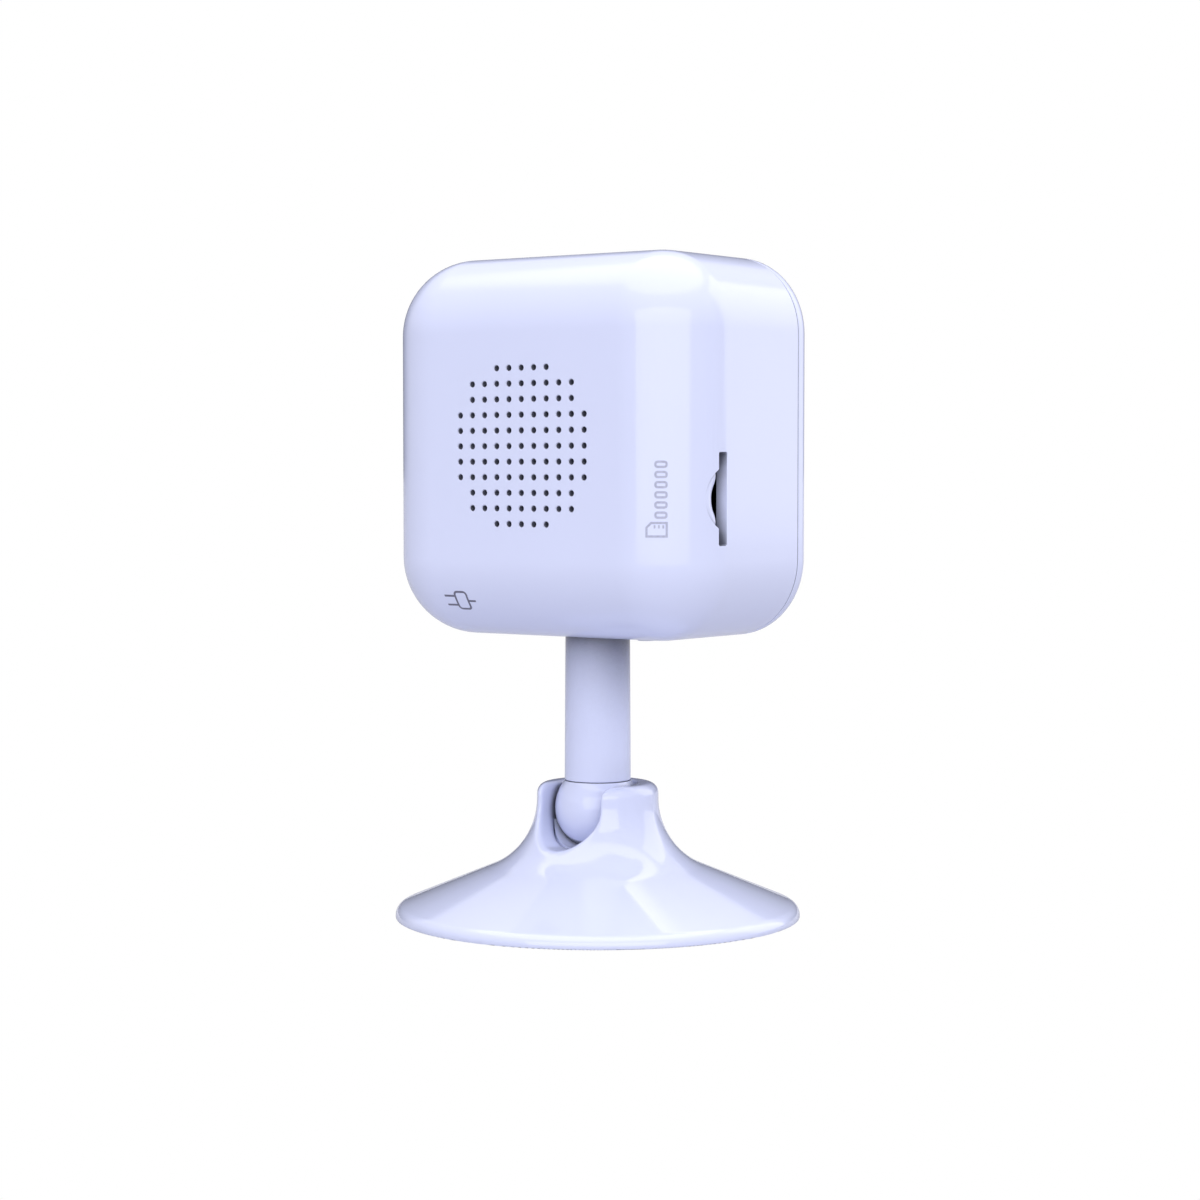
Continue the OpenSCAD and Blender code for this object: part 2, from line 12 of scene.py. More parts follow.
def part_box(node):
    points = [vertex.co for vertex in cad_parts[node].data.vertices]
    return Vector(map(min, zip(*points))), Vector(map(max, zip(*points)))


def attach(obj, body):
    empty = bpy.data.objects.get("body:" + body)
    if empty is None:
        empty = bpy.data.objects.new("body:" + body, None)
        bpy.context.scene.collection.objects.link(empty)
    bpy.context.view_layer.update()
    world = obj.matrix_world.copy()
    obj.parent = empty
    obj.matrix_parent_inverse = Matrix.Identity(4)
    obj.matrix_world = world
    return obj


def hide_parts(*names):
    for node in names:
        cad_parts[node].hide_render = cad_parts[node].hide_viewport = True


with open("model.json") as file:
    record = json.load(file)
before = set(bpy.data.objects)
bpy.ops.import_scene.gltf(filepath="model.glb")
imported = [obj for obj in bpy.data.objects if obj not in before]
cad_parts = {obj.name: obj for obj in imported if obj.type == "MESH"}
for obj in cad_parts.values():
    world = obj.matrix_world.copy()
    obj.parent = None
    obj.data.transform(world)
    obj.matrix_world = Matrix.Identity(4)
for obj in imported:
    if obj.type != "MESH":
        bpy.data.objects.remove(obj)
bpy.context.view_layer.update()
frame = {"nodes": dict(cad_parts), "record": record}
NODES = frame["nodes"]
MM = 0.001

# ---------------------------------------------------------------- sizes, in millimetres


def box_mm(node):
    """A CAD node's lowest and highest corner, in millimetres."""
    low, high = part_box(node)
    return Vector(low) / MM, Vector(high) / MM


REAR_LOW, REAR_HIGH = box_mm("rear_shell")
HEAD_W = REAR_HIGH.x - REAR_LOW.x
HEAD_H = REAR_HIGH.z - REAR_LOW.z
HEAD_MID = (REAR_HIGH.z + REAR_LOW.z) / 2
BACK = REAR_HIGH.y
SEAM = REAR_LOW.y
FRONT = box_mm("front_bezel")[0].y
WALL = 1.6
CORNER_R = 12.2
FRONT_EDGE_R = 3.0
SEAM_GAP = 0.05
SEAM_EDGE_R = 0.22

GRILLE_PITCH = 2.38
GRILLE_HOLE_R = 0.45
GRILLE_STEPS = 5.8

CARD_SLOT_Y, CARD_SLOT_Z = 9.1, 66.6
CARD_SLOT_D, CARD_SLOT_H = 1.9, 14.0
CARD_GUIDE = 0.4
GUIDE_AHEAD, GUIDE_BEHIND, GUIDE_ABOVE = 1.8, 1.9, 0.4
THUMB_H, THUMB_D = 8.8, 2.4
THUMB_ROLL_R, THUMB_ROLL_END = 1.75, math.radians(56)

PORT_X, PORT_Y = 13.6, 5.775
PORT_W, PORT_D = 8.4, 3.4
BUTTON_LOW, BUTTON_HIGH = box_mm("reset_button")
BUTTON_R = 1.5
THREAD_R = 4.6

WINDOW_R, WINDOW_EDGE_R, WINDOW_FLANGE = 25.1, 0.25, 1.6
WINDOW_FACE, WINDOW_LEDGE, WINDOW_BACK = 0.3, 1.85, 2.85
LENS_RING_R = 8.0
LENS_R = 6.0
MIC_DROP, MIC_HOLE_R = 20.5, 0.55

STEM_LOW, STEM_HIGH = box_mm("stem")
STEM_FOOT = STEM_LOW.z
STEM_TOP = REAR_LOW.z - 0.05
STEM_R_LOW, STEM_R_HIGH = 5.25, 5.13
STEM_BORE_R = 3.3
BALL_R, BALL_Z = 6.8, 17.4
SPIGOT_R, SPIGOT_TOP = 2.4, 33.0

SHELL_LOW, SHELL_HIGH = box_mm("base_shell")
BASE_R = SHELL_HIGH.x
BASE_FOOT = SHELL_LOW.z
NECK_TOP = SHELL_HIGH.z
NECK_R = 9.65
FLANK_SLOPE = math.radians(22.5)
EDGE_R, EDGE_Z = 1.8, 0.5
SWEEP_R = 11.9
RIM_R, LIP_R, FOOT_R = 1.7, 0.8, 0.2
NOTCH_R = 5.75
MOUTH_R = 5.9
SOCKET_R = BALL_R + 0.15
BLOCK_R, BLOCK_Z = 13.0, 4.7
BASE_WALL = 1.8
PLATE_R, PLATE_ROOM = 28.7, 2.2
NOTCH_SOFTNESS = 1.0
BASE_VOXEL = 0.3

# ---------------------------------------------------------------- mesh tools


def mesh_object(name, points, faces):
    """An object from points in millimetres and faces, with doubles merged and normals outward."""
    bm = bmesh.new()
    made = [bm.verts.new(Vector(p) * MM) for p in points]
    for face in faces:
        bm.faces.new([made[i] for i in face])
    bmesh.ops.remove_doubles(bm, verts=bm.verts, dist=1e-8)
    bmesh.ops.dissolve_degenerate(bm, edges=bm.edges, dist=1e-8)
    bmesh.ops.recalc_face_normals(bm, faces=bm.faces)
    mesh = bpy.data.meshes.new(name)
    bm.to_mesh(mesh)
    bm.free()
    obj = bpy.data.objects.new(name, mesh)
    bpy.context.scene.collection.objects.link(obj)
    return obj


def loft(name, rings):
    """A closed solid through rings of equal length, with a flat cap at each end."""
    n = len(rings[0])
    points = [p for ring in rings for p in ring]
    faces = [list(range(n)), list(range((len(rings) - 1) * n, len(rings) * n))]
    for i in range(len(rings) - 1):
        for k in range(n):
            a, b = i * n + k, i * n + (k + 1) % n
            faces.append([a, b, b + n, a + n])
    return mesh_object(name, points, faces)


def lathe(name, profile, steps=128, turn=None, centre=(0, 0, 0)):
    """A closed profile of (radius, height) spun about Z, then rotated and moved to centre."""
    turn = turn or Matrix.Identity(3)
    n = len(profile)
    points = []
    for i in range(steps):
        a = 2 * math.pi * i / steps
        for r, h in profile:
            p = Vector((r * math.cos(a), r * math.sin(a), h))
            points.append(turn @ p + Vector(centre))
    faces = []
    for i in range(steps):
        for k in range(n):
            a, b = i * n + k, i * n + (k + 1) % n
            c, d = (b + n) % len(points), (a + n) % len(points)
            faces.append([a, b, c, d])
    return mesh_object(name, points, faces)


BACKWARD = Matrix.Rotation(-math.pi / 2, 3, "X")  # turns +Z to +Y


def arc(x, y, r, start, end, steps):
    """Points of a circle's arc, from one angle in degrees to another."""
    angles = np.radians(np.linspace(start, end, steps + 1))
    return [(x + r * math.cos(a), y + r * math.sin(a)) for a in angles]


def rounded_outline(w, h, r, steps=20):
    """A rounded rectangle about the origin, anticlockwise."""
    corners = ((1, 1, 0), (-1, 1, 90), (-1, -1, 180), (1, -1, 270))
    out = []
    for sx, sy, start in corners:
        out += arc(sx * (w / 2 - r), sy * (h / 2 - r), r, start, start + 90, steps)
    return out


def head_ring(y, inset):
    """The head's outline at a depth, drawn in by inset."""
    r = max(CORNER_R - inset, 0)
    outline = rounded_outline(HEAD_W - 2 * inset, HEAD_H - 2 * inset, r)
    return [(x, y, HEAD_MID + z) for x, z in outline]


def evaluated(obj):
    """Applies an object's modifiers."""
    graph = bpy.context.evaluated_depsgraph_get()
    mesh = bpy.data.meshes.new_from_object(obj.evaluated_get(graph))
    obj.modifiers.clear()
    old, obj.data = obj.data, mesh
    bpy.data.meshes.remove(old)


def join(name, objects):
    """One object with the meshes of several, which are removed."""
    bm = bmesh.new()
    for o in objects:
        bm.from_mesh(o.data)
        bpy.data.objects.remove(o)
    mesh = bpy.data.meshes.new(name)
    bm.to_mesh(mesh)
    bm.free()
    obj = bpy.data.objects.new(name, mesh)
    bpy.context.scene.collection.objects.link(obj)
    return obj


def cut(obj, cutter):
    """Cuts one object out of another and removes the cutter."""
    change = obj.modifiers.new("cut", "BOOLEAN")
    change.object = cutter
    change.operation = "DIFFERENCE"
    change.solver = "EXACT"
    evaluated(obj)
    bpy.data.objects.remove(cutter)


def smooth(obj, angle=32):
    """Smooth shading, apart from edges sharper than angle, with flat faces kept flat."""
    bm = bmesh.new()
    bm.from_mesh(obj.data)
    bmesh.ops.remove_doubles(bm, verts=bm.verts, dist=2e-7)
    bmesh.ops.dissolve_degenerate(bm, edges=bm.edges, dist=2e-7)
    for face in bm.faces:
        face.smooth = True
    for edge in bm.edges:
        edge.smooth = edge.calc_face_angle(0) < math.radians(angle)
    bm.to_mesh(obj.data)
    bm.free()
    weigh = obj.modifiers.new("normals", "WEIGHTED_NORMAL")
    weigh.keep_sharp = True
    weigh.weight = 100
    evaluated(obj)


def piece(obj, body, slot, material, *nodes):
    """Sets a piece's body and material, and hides the CAD nodes that it replaces; slot is not used.
    """
    obj.data.materials.clear()
    obj.data.materials.append(material)
    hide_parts(*nodes)
    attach(obj, body)
    return obj


# ---------------------------------------------------------------- materials


class Nodes:
    """A short way to write a material's nodes."""

    def __init__(self, name):
        self.material = bpy.data.materials.new(name)
        self.material.use_nodes = True
        self.tree = self.material.node_tree
        self.shader = self.tree.nodes["Principled BSDF"]
        self.place = self.add("ShaderNodeTexCoord").outputs["Object"]

    def add(self, kind, **values):
        node = self.tree.nodes.new(kind)
        for key, value in values.items():
            setattr(node, key, value)
        return node

    def link(self, out, into):
        self.tree.links.new(out, into)

    def noise(self, scale, detail=2.0, rough=0.5, stretch=(1, 1, 1)):
        """Noise by place: scale is in waves a metre."""
        mapping = self.add("ShaderNodeMapping")
        mapping.inputs["Scale"].default_value = stretch
        self.link(self.place, mapping.inputs["Vector"])
        node = self.add("ShaderNodeTexNoise")
        node.inputs["Scale"].default_value = scale
        node.inputs["Detail"].default_value = detail
        node.inputs["Roughness"].default_value = rough
        self.link(mapping.outputs["Vector"], node.inputs["Vector"])
        return node.outputs["Fac"]

    def ramp(self, fac, low, high, start=0.35, end=0.65):
        """A colour between two, by a factor."""
        node = self.add("ShaderNodeValToRGB")
        for element, at, colour in zip(node.color_ramp.elements, (start, end), (low, high)):
            element.position = at
            element.color = (*colour, 1)
        self.link(fac, node.inputs["Fac"])
        return node.outputs["Color"]

    def spread(self, fac, low, high, start=0.3, end=0.7):
        """A number between two, by a factor."""
        node = self.add("ShaderNodeMapRange")
        node.inputs["From Min"].default_value = start
        node.inputs["From Max"].default_value = end
        node.inputs["To Min"].default_value = low
        node.inputs["To Max"].default_value = high
        self.link(fac, node.inputs["Value"])
        return node.outputs["Result"]

    def bump(self, height, depth_mm, before=None):
        """A bump of a depth in millimetres, on top of one before."""
        node = self.add("ShaderNodeBump")
        node.inputs["Distance"].default_value = depth_mm * MM
        self.link(height, node.inputs["Height"])
        if before is not None:
            self.link(before, node.inputs["Normal"])
        return node.outputs["Normal"]

    def set(self, **values):
        """Fixed values on the shader's own sockets."""
        for key, value in values.items():
            self.shader.inputs[key.replace("_", " ")].default_value = value

    def finish(self, colour, roughness, normal=None):
        """Links what the shader is given and returns the material."""
        self.link(colour, self.shader.inputs["Base Color"])
        self.link(roughness, self.shader.inputs["Roughness"])
        if normal is not None:
            self.link(normal, self.shader.inputs["Normal"])
        return self.material


def shade(colour, factor):
    """A colour made lighter or darker."""
    return tuple(min(c * factor, 1) for c in colour)


def moulded_plastic_with_painted_shade(name, colour, roughness, coat, painted_shade_reach_mm, darkest_painted_shade=0.25, from_mm=None):
    """Glossy moulded plastic: a slow drift of tone, rubbed patches and a very faint orange peel.

    Painted shade: the colour is darkened where other surfaces are within reach, in corners, holes,
    gaps and under things. With from_mm, two heights, the painted shade has no effect below the
    first and its full effect above the second.
    """
    m = Nodes(name)
    flow = m.noise(28, 2, 0.5, (1, 1, 0.6))
    tone = m.ramp(flow, shade(colour, 0.99), shade(colour, 1.008), 0.3, 0.7)
    # Painted shade: ambient occlusion darkens the colour near other surfaces.
    corner = m.add("ShaderNodeAmbientOcclusion", samples=16)
    corner.inputs["Distance"].default_value = painted_shade_reach_mm * MM
    depth = m.spread(corner.outputs["AO"], darkest_painted_shade, 1.0, 0.48, 0.93)
    # Painted shade limited by height: none below from_mm[0], full above from_mm[1].
    if from_mm:
        split = m.add("ShaderNodeSeparateXYZ")
        m.link(m.place, split.inputs["Vector"])
        painted_shade_weight = m.spread(split.outputs["Z"], 0.0, 1.0, from_mm[0] * MM, from_mm[1] * MM)
        painted_shade_by_height = m.add("ShaderNodeMix")
        painted_shade_by_height.inputs["A"].default_value = 1.0
        m.link(painted_shade_weight, painted_shade_by_height.inputs["Factor"])
        m.link(depth, painted_shade_by_height.inputs["B"])
        depth = painted_shade_by_height.outputs["Result"]
    # The tone scaled down by the painted shade.
    darker = m.add("ShaderNodeVectorMath", operation="SCALE")
    m.link(tone, darker.inputs[0])
    m.link(depth, darker.inputs["Scale"])
    rubbed = m.spread(m.noise(110, 3, 0.55), roughness * 0.93, roughness * 1.07)
    peel = m.bump(m.noise(420, 1), 0.0012)
    pores = m.bump(m.noise(5200, 2), 0.0003, peel)
    m.set(Coat_Weight=coat, Coat_Roughness=0.03, IOR=1.5)
    return m.finish(darker.outputs["Vector"], rubbed, pores)


def matte_plastic(name, colour, roughness=0.55):
    """Fine spark-eroded texture on dark or grey plastic."""
    m = Nodes(name)
    tone = m.ramp(m.noise(300, 4), shade(colour, 0.9), shade(colour, 1.1))
    rough = m.spread(m.noise(900, 3), roughness * 0.9, roughness * 1.1)
    return m.finish(tone, rough, m.bump(m.noise(4000, 3), 0.01))


def plated_metal(name, colour, roughness=0.3, brushed=(1, 1, 30)):
    """Metal with drawn or turned marks along one direction and a cloudy plating."""
    m = Nodes(name)
    tone = m.ramp(m.noise(250, 5, 0.6), shade(colour, 0.88), shade(colour, 1.08))
    marks = m.noise(700, 3, 0.7, brushed)
    rough = m.spread(marks, roughness * 0.75, roughness * 1.3)
    m.set(Metallic=1.0)
    return m.finish(tone, rough, m.bump(marks, 0.003))


def soft_rubber(name, colour):
    """Matte rubber with a fine powdery grain."""
    m = Nodes(name)
    tone = m.ramp(m.noise(400, 5, 0.7), shade(colour, 0.8), shade(colour, 1.25))
    rough = m.spread(m.noise(1500, 3), 0.72, 0.9)
    return m.finish(tone, rough, m.bump(m.noise(3500, 4), 0.02))


def open_foam(name, colour):
    """Foam with open cells."""
    m = Nodes(name)
    cells = m.add("ShaderNodeTexVoronoi")
    cells.inputs["Scale"].default_value = 3000
    m.link(m.place, cells.inputs["Vector"])
    depth = cells.outputs["Distance"]
    tone = m.ramp(depth, shade(colour, 0.5), shade(colour, 1.4), 0.1, 0.6)
    return m.finish(tone, m.spread(m.noise(800), 0.8, 0.95), m.bump(depth, 0.06))


def speaker_mesh(name, colour):
    """Black woven cloth: two sets of threads that cross."""
    m = Nodes(name)
    weave = []
    for direction in ("X", "Z"):
        wave = m.add("ShaderNodeTexWave", bands_direction=direction)
        wave.inputs["Scale"].default_value = 1600
        m.link(m.place, wave.inputs["Vector"])
        weave.append(wave.outputs["Fac"])
    cross = m.add("ShaderNodeMath", operation="MULTIPLY")
    m.link(weave[0], cross.inputs[0])
    m.link(weave[1], cross.inputs[1])
    threads = cross.outputs["Value"]
    tone = m.ramp(threads, shade(colour, 0.4), shade(colour, 1.3), 0.2, 0.8)
    return m.finish(tone, m.spread(threads, 0.95, 0.75), m.bump(threads, 0.02))


def solder_mask(name, colour):
    """Circuit board: solder mask over copper tracks that run square to each other."""
    m = Nodes(name)
    bricks = m.add("ShaderNodeTexBrick")
    bricks.inputs["Scale"].default_value = 320
    bricks.inputs["Mortar Size"].default_value = 0.06
    bricks.inputs["Color1"].default_value = (0, 0, 0, 1)
    bricks.inputs["Color2"].default_value = (0.25, 0.25, 0.25, 1)
    bricks.inputs["Mortar"].default_value = (1, 1, 1, 1)
    turn = m.add("ShaderNodeMapping")
    turn.inputs["Rotation"].default_value = (math.pi / 2, 0, 0)
    m.link(m.place, turn.inputs["Vector"])
    m.link(turn.outputs["Vector"], bricks.inputs["Vector"])
    tracks = bricks.outputs["Color"]
    tone = m.ramp(tracks, colour, shade(colour, 1.7), 0.1, 0.9)
    return m.finish(tone, m.spread(m.noise(500), 0.25, 0.4), m.bump(tracks, 0.02))


def coated_glass(name, colour, roughness=0.02):
    """Lens glass with a coating whose tint drifts across it."""
    m = Nodes(name)
    coating = m.ramp(m.noise(90, 2), shade(colour, 0.8), shade(colour, 1.2))
    m.set(IOR=1.6, Coat_Weight=1.0, Coat_Roughness=0.01, Coat_Tint=(0.55, 0.62, 1.0, 1))
    return m.finish(coating, m.spread(m.noise(300), roughness, roughness * 2))


def black_gloss(name, colour):
    """Piano black panel with faint polishing swirls."""
    m = Nodes(name)
    swirl = m.noise(1200, 4, 0.7, (1, 1, 0.2))
    tone = m.ramp(m.noise(60), shade(colour, 0.85), shade(colour, 1.2))
    m.set(IOR=1.52, Coat_Weight=0.6, Coat_Roughness=0.015)
    return m.finish(tone, m.spread(swirl, 0.045, 0.085), m.bump(swirl, 0.0004))


def film(name, colour):
    """Amber polyimide film with copper tracks beneath."""
    m = Nodes(name)
    wave = m.add("ShaderNodeTexWave", bands_direction="X")
    wave.inputs["Scale"].default_value = 500
    m.link(m.place, wave.inputs["Vector"])
    tracks = wave.outputs["Fac"]
    tone = m.ramp(tracks, colour, shade(colour, 1.4), 0.45, 0.55)
    return m.finish(tone, m.spread(m.noise(500), 0.2, 0.35), m.bump(tracks, 0.01))


def print_ink(name, colour):
    """Pad-printed ink, a little uneven."""
    m = Nodes(name)
    tone = m.ramp(m.noise(2500, 4, 0.7), shade(colour, 0.88), shade(colour, 1.12))
    return m.finish(tone, m.spread(m.noise(1500), 0.4, 0.6), m.bump(m.noise(4000), 0.003))


WHITE = (0.69, 0.73, 0.965)
# Painted shade in the sound holes, card slot, recess and seam, within 2.5 mm of other surfaces.
SHELL = moulded_plastic_with_painted_shade("shell_plastic", WHITE, 0.13, 0.15, painted_shade_reach_mm=2.5)
# Painted shadow of the head on the top of the stem: within 19 mm of other surfaces the colour falls
# to a tenth of its tone, only above 22 mm.
STEM_WHITE_WITH_PAINTED_SHADOW = moulded_plastic_with_painted_shade(
    "stem_plastic_painted_shadow", WHITE, 0.12, 0.3, painted_shade_reach_mm=19.0, darkest_painted_shade=0.1, from_mm=(22.0, 30.0)
)
# Painted shade within 1 mm, where the ball meets the stem and the socket.
BALL_WHITE = moulded_plastic_with_painted_shade("ball_plastic", WHITE, 0.12, 0.3, painted_shade_reach_mm=1.0)
# Painted shade in the notch and round the neck: up to 15 per cent darker near other surfaces, only
# above 6 mm.
BASE_WHITE = moulded_plastic_with_painted_shade(
    "base_plastic", WHITE, 0.08, 0.5, painted_shade_reach_mm=5.0, darkest_painted_shade=0.85, from_mm=(6.0, 9.0)
)
SLOT_MATERIALS = {
    "white_shell": SHELL,
    "white_stem": BALL_WHITE,
    "white_base": BASE_WHITE,
    "black_window": black_gloss("window_black", (0.012, 0.012, 0.016)),
    "lens_metal": plated_metal("anodised_ring", (0.16, 0.165, 0.185), 0.28, (1, 30, 1)),
    "optical_glass": coated_glass("lens_glass", (0.012, 0.015, 0.03)),
    "filter_glass": coated_glass("filter_glass", (0.3, 0.08, 0.12)),
    "black_plastic": matte_plastic("black_plastic", (0.03, 0.03, 0.035)),
    "grey_plastic": matte_plastic("grey_plastic", (0.52, 0.54, 0.63), 0.45),
    "steel": plated_metal("zinc_steel", (0.62, 0.63, 0.65)),
    "weight_steel": plated_metal("raw_steel", (0.4, 0.41, 0.43), 0.42, (30, 1, 1)),
    "rubber": soft_rubber("pad_rubber", (0.05, 0.05, 0.055)),
    "foam": open_foam("gasket_foam", (0.06, 0.06, 0.07)),
    "circuit_board": solder_mask("solder_mask", (0.02, 0.13, 0.07)),
    "chip": matte_plastic("chip_epoxy", (0.025, 0.025, 0.03), 0.5),
    "connector": matte_plastic("connector_nylon", (0.7, 0.67, 0.58), 0.4),
    "polyimide": film("polyimide_film", (0.42, 0.17, 0.03)),
    "heat_alloy": plated_metal("heat_alloy", (0.7, 0.72, 0.75), 0.4, (1, 1, 12)),
    "contact_metal": plated_metal("gold_contact", (0.75, 0.52, 0.2), 0.25),
    "socket_metal": plated_metal("tin_socket", (0.55, 0.56, 0.6), 0.33),
    "cloth": speaker_mesh("speaker_cloth", (0.03, 0.03, 0.035)),
    "led_amber": coated_glass("led_epoxy", (0.16, 0.1, 0.26), 0.08),
}
DARK_INK = print_ink("dark_ink", (0.15, 0.15, 0.225))
PALE_INK = print_ink("pale_ink", (0.43, 0.445, 0.6))

for entry in frame["record"]["subparts"]:
    node = NODES[entry["node"]]
    node.data.materials.clear()
    node.data.materials.append(SLOT_MATERIALS[entry["material_slot"]])

# ---------------------------------------------------------------- head


def seam_edge(y, direction, inset=0.0):
    """Rings of the small round at the seam: direction is the way from the seam into the piece."""
    rings = []
    for angle in np.radians(np.linspace(0, 90, 5)):
        lean = SEAM_EDGE_R * (1 - math.sin(angle))
        depth = SEAM_EDGE_R * (1 - math.cos(angle))
        rings.append(head_ring(y + direction * depth, inset + lean))
    return rings


def rear_solid(name, inset, start_rings):
    """The head behind the seam, drawn in by inset, with a ball for each back corner."""
    rings = list(start_rings)
    for angle in np.radians(np.linspace(0, 90, 23)):
        drawn = inset + (CORNER_R - inset) * (1 - math.cos(angle))
        rings.append(head_ring(BACK - CORNER_R + (CORNER_R - inset) * math.sin(angle), drawn))
    return loft(name, rings)


def grille_cutter():
    """Sound holes in a round field, each with a fine countersink."""
    depth, lead = WALL + 1.0, 0.12
    reach = int(GRILLE_STEPS)
    profile = [(0, -1), (GRILLE_HOLE_R + lead, -1), (GRILLE_HOLE_R + lead, 0)]
    profile += [(GRILLE_HOLE_R, lead), (GRILLE_HOLE_R, depth), (0, depth)]
    inward = Matrix.Rotation(math.pi / 2, 3, "X")  # turns +Z to -Y
    holes = []
    for i in range(-reach, reach + 1):
        for k in range(-reach, reach + 1):
            if math.hypot(i, k) <= GRILLE_STEPS:
                place = (i * GRILLE_PITCH, BACK, HEAD_MID + k * GRILLE_PITCH)
                holes.append(lathe("hole", profile, 24, inward, place))
    return join("grille_cutter", holes)


def slab(name, low, high):
    """A block between two corners, to cut with."""
    (x0, y0, z0), (x1, y1, z1) = low, high
    return loft(name, [[(x, y0, z0), (x, y1, z0), (x, y1, z1), (x, y0, z1)] for x in (x0, x1)])


def prism(name, outline, stations, place):
    """An outline drawn at several stations: place turns (u, v, station) into a point."""
    rings = []
    for at, grow in stations:
        rings.append([place(u, v, at) for u, v in outline(grow)])
    return loft(name, rings)


def card_slot_cutter():
    """The card slot, with a fine lead-in at the surface."""

    def outline(grow):
        return rounded_outline(CARD_SLOT_D + 2 * grow, CARD_SLOT_H + 2 * grow, 0.3 + grow, 6)

    side = -HEAD_W / 2
    stations = [(side - 0.6, 0.7), (side, 0.1), (side + 0.1, 0.0), (side + 5, 0.0)]
    return prism(
        "card_slot_cutter", outline, stations, lambda u, v, x: (x, CARD_SLOT_Y + u, CARD_SLOT_Z + v)
    )


def thumb_cutter():
    """A recess behind the slot, whose floor rolls from the head's rounded edge down to the slot."""
    mouth_r = ((THUMB_H / 2) ** 2 + THUMB_D**2) / (2 * THUMB_D)
    slot_back = CARD_SLOT_Y + CARD_SLOT_D / 2
    centre_y = slot_back + THUMB_D - mouth_r
    lean = math.asin((slot_back + THUMB_D - (BACK - CORNER_R)) / CORNER_R)
    edge_x = -HEAD_W / 2 + CORNER_R * (1 - math.cos(lean))
    roll_r = THUMB_ROLL_R
    profile = [(0, edge_x - 4), (mouth_r, edge_x - 4), (mouth_r, edge_x)]
    for angle in np.linspace(-lean, THUMB_ROLL_END, 32)[1:]:
        radius = mouth_r - roll_r * (math.sin(angle) + math.sin(lean))
        profile.append((radius, edge_x + roll_r * (math.cos(lean) - math.cos(angle))))
    profile.append((0, profile[-1][1]))
    sideways = Matrix.Rotation(math.pi / 2, 3, "Y")  # turns +Z to +X
    cutter = lathe("thumb_cutter", profile, 160, sideways, (0, centre_y, CARD_SLOT_Z))
    cut(cutter, slab("front_part", (-40, -20, REAR_LOW.z), (0, slot_back - 0.3, REAR_HIGH.z)))
    return cutter


def underside_cutters():
    """The power inlet, the reset button's hole and the stem's hole, from below."""
    bottom = REAR_LOW.z

    def outline(grow):
        return rounded_outline(PORT_W + 2 * grow, PORT_D + 2 * grow, 0.9 + grow, 8)

    stations = [(bottom - 1, 1.3), (bottom, 0.3), (bottom + 0.3, 0.0), (bottom + 4, 0.0)]
    inlet = prism("inlet", outline, stations, lambda u, v, z: (PORT_X + u, PORT_Y + v, z))

    def hole(x, y, r, lead):
        profile = [(0, -1), (r + lead, -1), (r + lead, 0), (r, lead), (r, 4), (0, 4)]
        return lathe("hole", profile, 48, None, (x, y, bottom))

    return join(
        "underside_cutters",
        [inlet, hole(-PORT_X, PORT_Y, BUTTON_R + 0.3, 0.15), hole(0, 0, THREAD_R + 0.15, 0.0)],
    )


def make_rear_shell():
    shell = rear_solid("rear_cover", 0.0, seam_edge(SEAM, 1))
    hollow = rear_solid("hollow", WALL, [head_ring(SEAM - 1, WALL)])
    side, half = -HEAD_W / 2, CARD_SLOT_H / 2 + GUIDE_ABOVE
    low = (side, CARD_SLOT_Y - GUIDE_AHEAD, CARD_SLOT_Z - half)
    high = (side + WALL + CARD_GUIDE, CARD_SLOT_Y + GUIDE_BEHIND, CARD_SLOT_Z + half)
    cut(hollow, slab("card_guide", low, high))
    cut(shell, hollow)
    cut(shell, grille_cutter())
    cut(shell, card_slot_cutter())
    cut(shell, thumb_cutter())
    cut(shell, underside_cutters())
    smooth(shell)
    return piece(shell, "head", "white_shell", SHELL, "rear_shell")


def make_front_bezel():
    rings = seam_edge(SEAM - SEAM_GAP, -1)
    for angle in np.radians(np.linspace(0, 90, 15)):
        drawn = FRONT_EDGE_R * (1 - math.cos(angle))
        rings.append(head_ring(FRONT + FRONT_EDGE_R * (1 - math.sin(angle)), drawn))
    bezel = loft("front_cover", rings)
    cut(bezel, loft("pocket", [head_ring(FRONT + 1.8, WALL), head_ring(SEAM + 1, WALL)]))
    opening, lead = WINDOW_R + 0.2, 0.35
    profile = [(0, -1), (opening + lead, -1), (opening + lead, 0)]
    profile += [(opening, lead), (opening, 4), (0, 4)]
    cut(bezel, lathe("opening", profile, 192, BACKWARD, (0, FRONT, HEAD_MID)))
    smooth(bezel)
    return piece(bezel, "head", "white_shell", SHELL, "front_bezel")


def about_lens(name, profile, steps=128):
    """A profile of radius and depth behind the front face, turned about the lens's axis."""
    obj = lathe(name, profile, steps, BACKWARD, (0, FRONT, HEAD_MID))
    smooth(obj)
    return obj


def make_window():
    bore, edge = LENS_RING_R + 0.1, WINDOW_EDGE_R
    rim, flange = WINDOW_R - edge, WINDOW_R + WINDOW_FLANGE
    profile = [(bore, WINDOW_FACE), (rim, WINDOW_FACE)]
    profile += arc(rim, WINDOW_FACE + edge, edge, -90, 0, 5)
    profile += [(WINDOW_R, WINDOW_LEDGE), (flange, WINDOW_LEDGE)]
    profile += [(flange, WINDOW_BACK), (bore, WINDOW_BACK)]
    window = lathe("front_panel", profile, 192, BACKWARD, (0, FRONT, HEAD_MID))
    hole = [(0, -1), (MIC_HOLE_R, -1), (MIC_HOLE_R, 4), (0, 4)]
    cut(window, lathe("hole", hole, 32, BACKWARD, (0, FRONT, HEAD_MID - MIC_DROP)))
    smooth(window)
    slot = "black_window"
    return piece(window, "head", slot, SLOT_MATERIALS[slot], "front_window")


